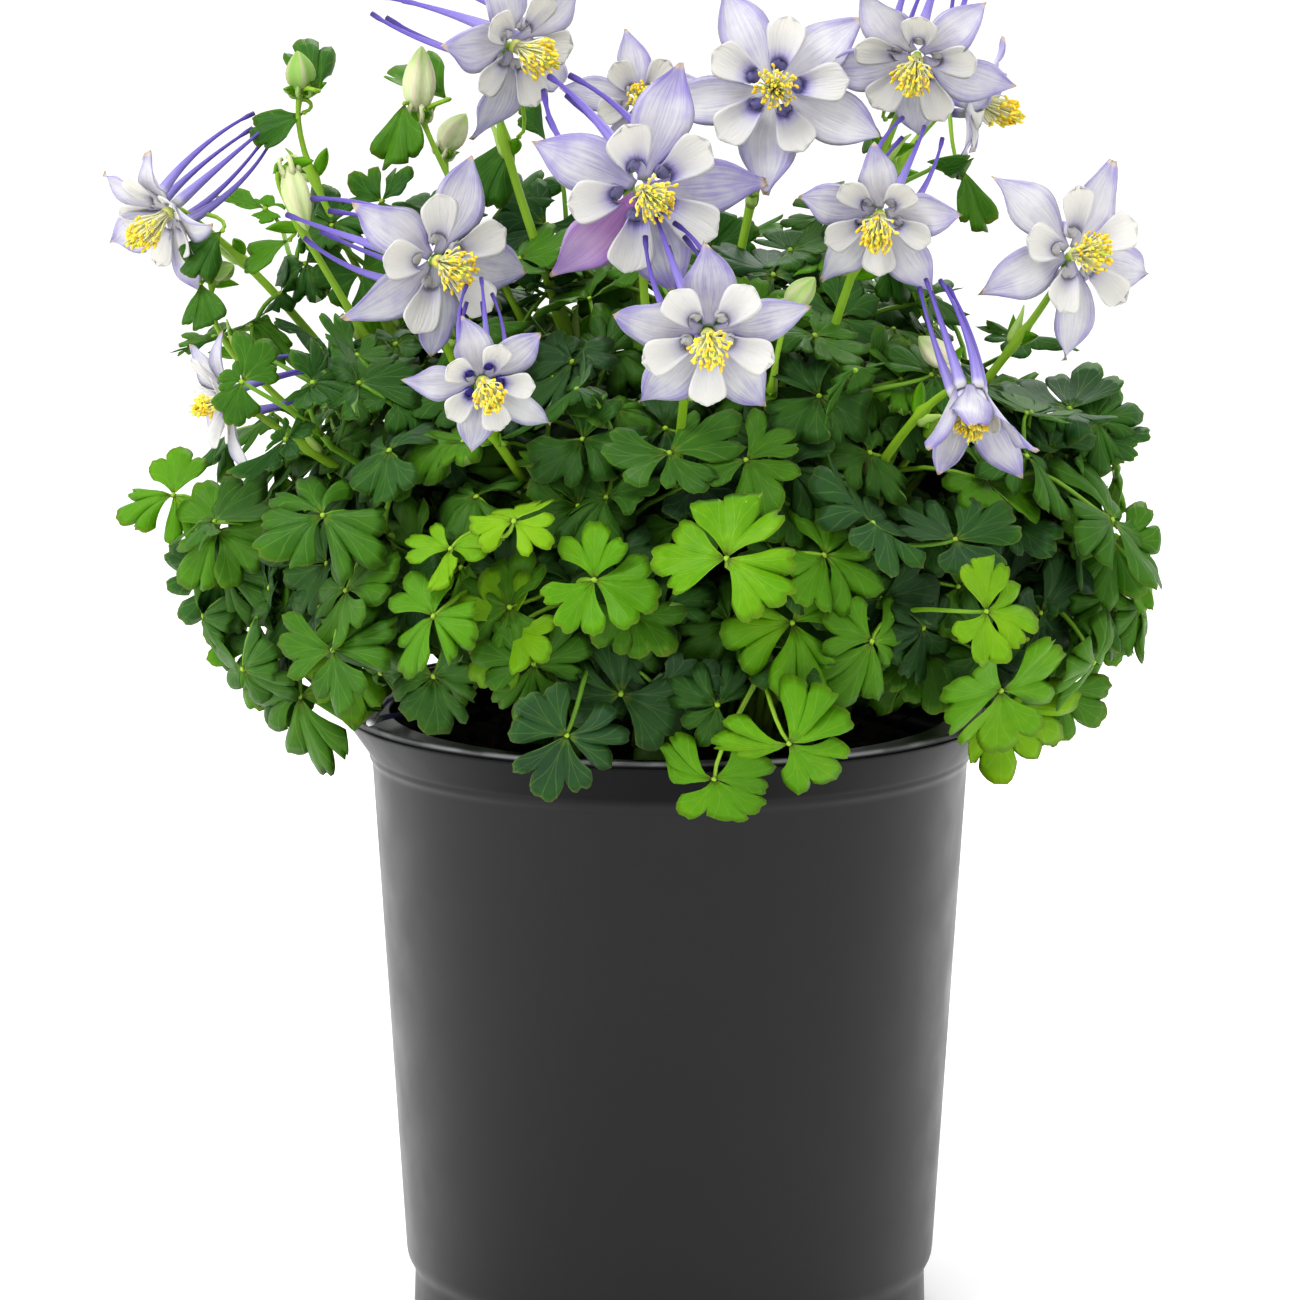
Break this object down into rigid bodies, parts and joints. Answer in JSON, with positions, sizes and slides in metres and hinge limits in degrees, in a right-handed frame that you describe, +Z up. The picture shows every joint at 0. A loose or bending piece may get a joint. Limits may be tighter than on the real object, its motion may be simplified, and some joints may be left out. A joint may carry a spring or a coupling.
{
  "type": "potted columbine plant",
  "caption": "Columbine in flower in a black nursery pot: spurred lavender and white blooms on tall stems above a mound of lobed three-part leaves.",
  "frame": {"origin": "centre of the pot's flat underside", "axes": "+Z up along the pot's axis; -Y towards the plant's front, where most blooms face"},
  "size_m": [0.2846, 0.2455, 0.3704],
  "materials": {
    "pot_plastic": "satin charcoal black, blow-moulded",
    "potting_mix": "rough dark peat and bark",
    "leaf_green": "soft satin leaf, veined",
    "sepal_lavender": "soft satin, violet veins and edges",
    "petal_white": "soft satin, cream white",
    "stamen_yellow": "powdery yellow",
    "spur_violet": "soft satin violet"
  },
  "bodies": {
    "root": {"pot": "pot_plastic", "soil": "potting_mix", "fallen_spur": "spur_violet", "bloom_1_sepals": "sepal_lavender", "bloom_1_petals": "petal_white", "bloom_1_stamens": "stamen_yellow", "bloom_2_sepals": "sepal_lavender", "bloom_2_petals": "petal_white", "bloom_2_stamens": "stamen_yellow", "bloom_3_sepals": "sepal_lavender", "bloom_3_petals": "petal_white", "bloom_3_stamens": "stamen_yellow", "bloom_4_sepals": "sepal_lavender", "bloom_4_petals": "petal_white", "bloom_4_stamens": "stamen_yellow", "bloom_5_sepals": "sepal_lavender", "bloom_5_petals": "petal_white", "bloom_5_stamens": "stamen_yellow", "bloom_6_sepals": "sepal_lavender", "bloom_6_petals": "petal_white", "bloom_6_stamens": "stamen_yellow", "bloom_7_sepals": "sepal_lavender", "bloom_7_petals": "petal_white", "bloom_7_stamens": "stamen_yellow", "bloom_8_sepals": "sepal_lavender", "bloom_8_petals": "petal_white", "bloom_8_stamens": "stamen_yellow", "bloom_9_sepals": "sepal_lavender", "bloom_9_petals": "petal_white", "bloom_9_stamens": "stamen_yellow", "bloom_10_sepals": "sepal_lavender", "bloom_10_petals": "petal_white", "bloom_10_stamens": "stamen_yellow", "bloom_11_sepals": "sepal_lavender", "bloom_11_petals": "petal_white", "bloom_11_stamens": "stamen_yellow", "bloom_12_sepals": "sepal_lavender", "bloom_12_petals": "petal_white", "bloom_12_stamens": "stamen_yellow", "bloom_13_sepals": "sepal_lavender", "bloom_13_petals": "petal_white", "bloom_13_stamens": "stamen_yellow", "bloom_14_sepals": "sepal_lavender", "bloom_14_petals": "petal_white", "bloom_14_stamens": "stamen_yellow", "shoot_1": "leaf_green", "shoot_2": "leaf_green", "shoot_3": "leaf_green", "shoot_4": "leaf_green", "shoot_5": "leaf_green", "shoot_6": "leaf_green", "shoot_7": "leaf_green", "shoot_8": "leaf_green", "shoot_9": "leaf_green", "shoot_middle": "leaf_green"}
  },
  "joints": []
}
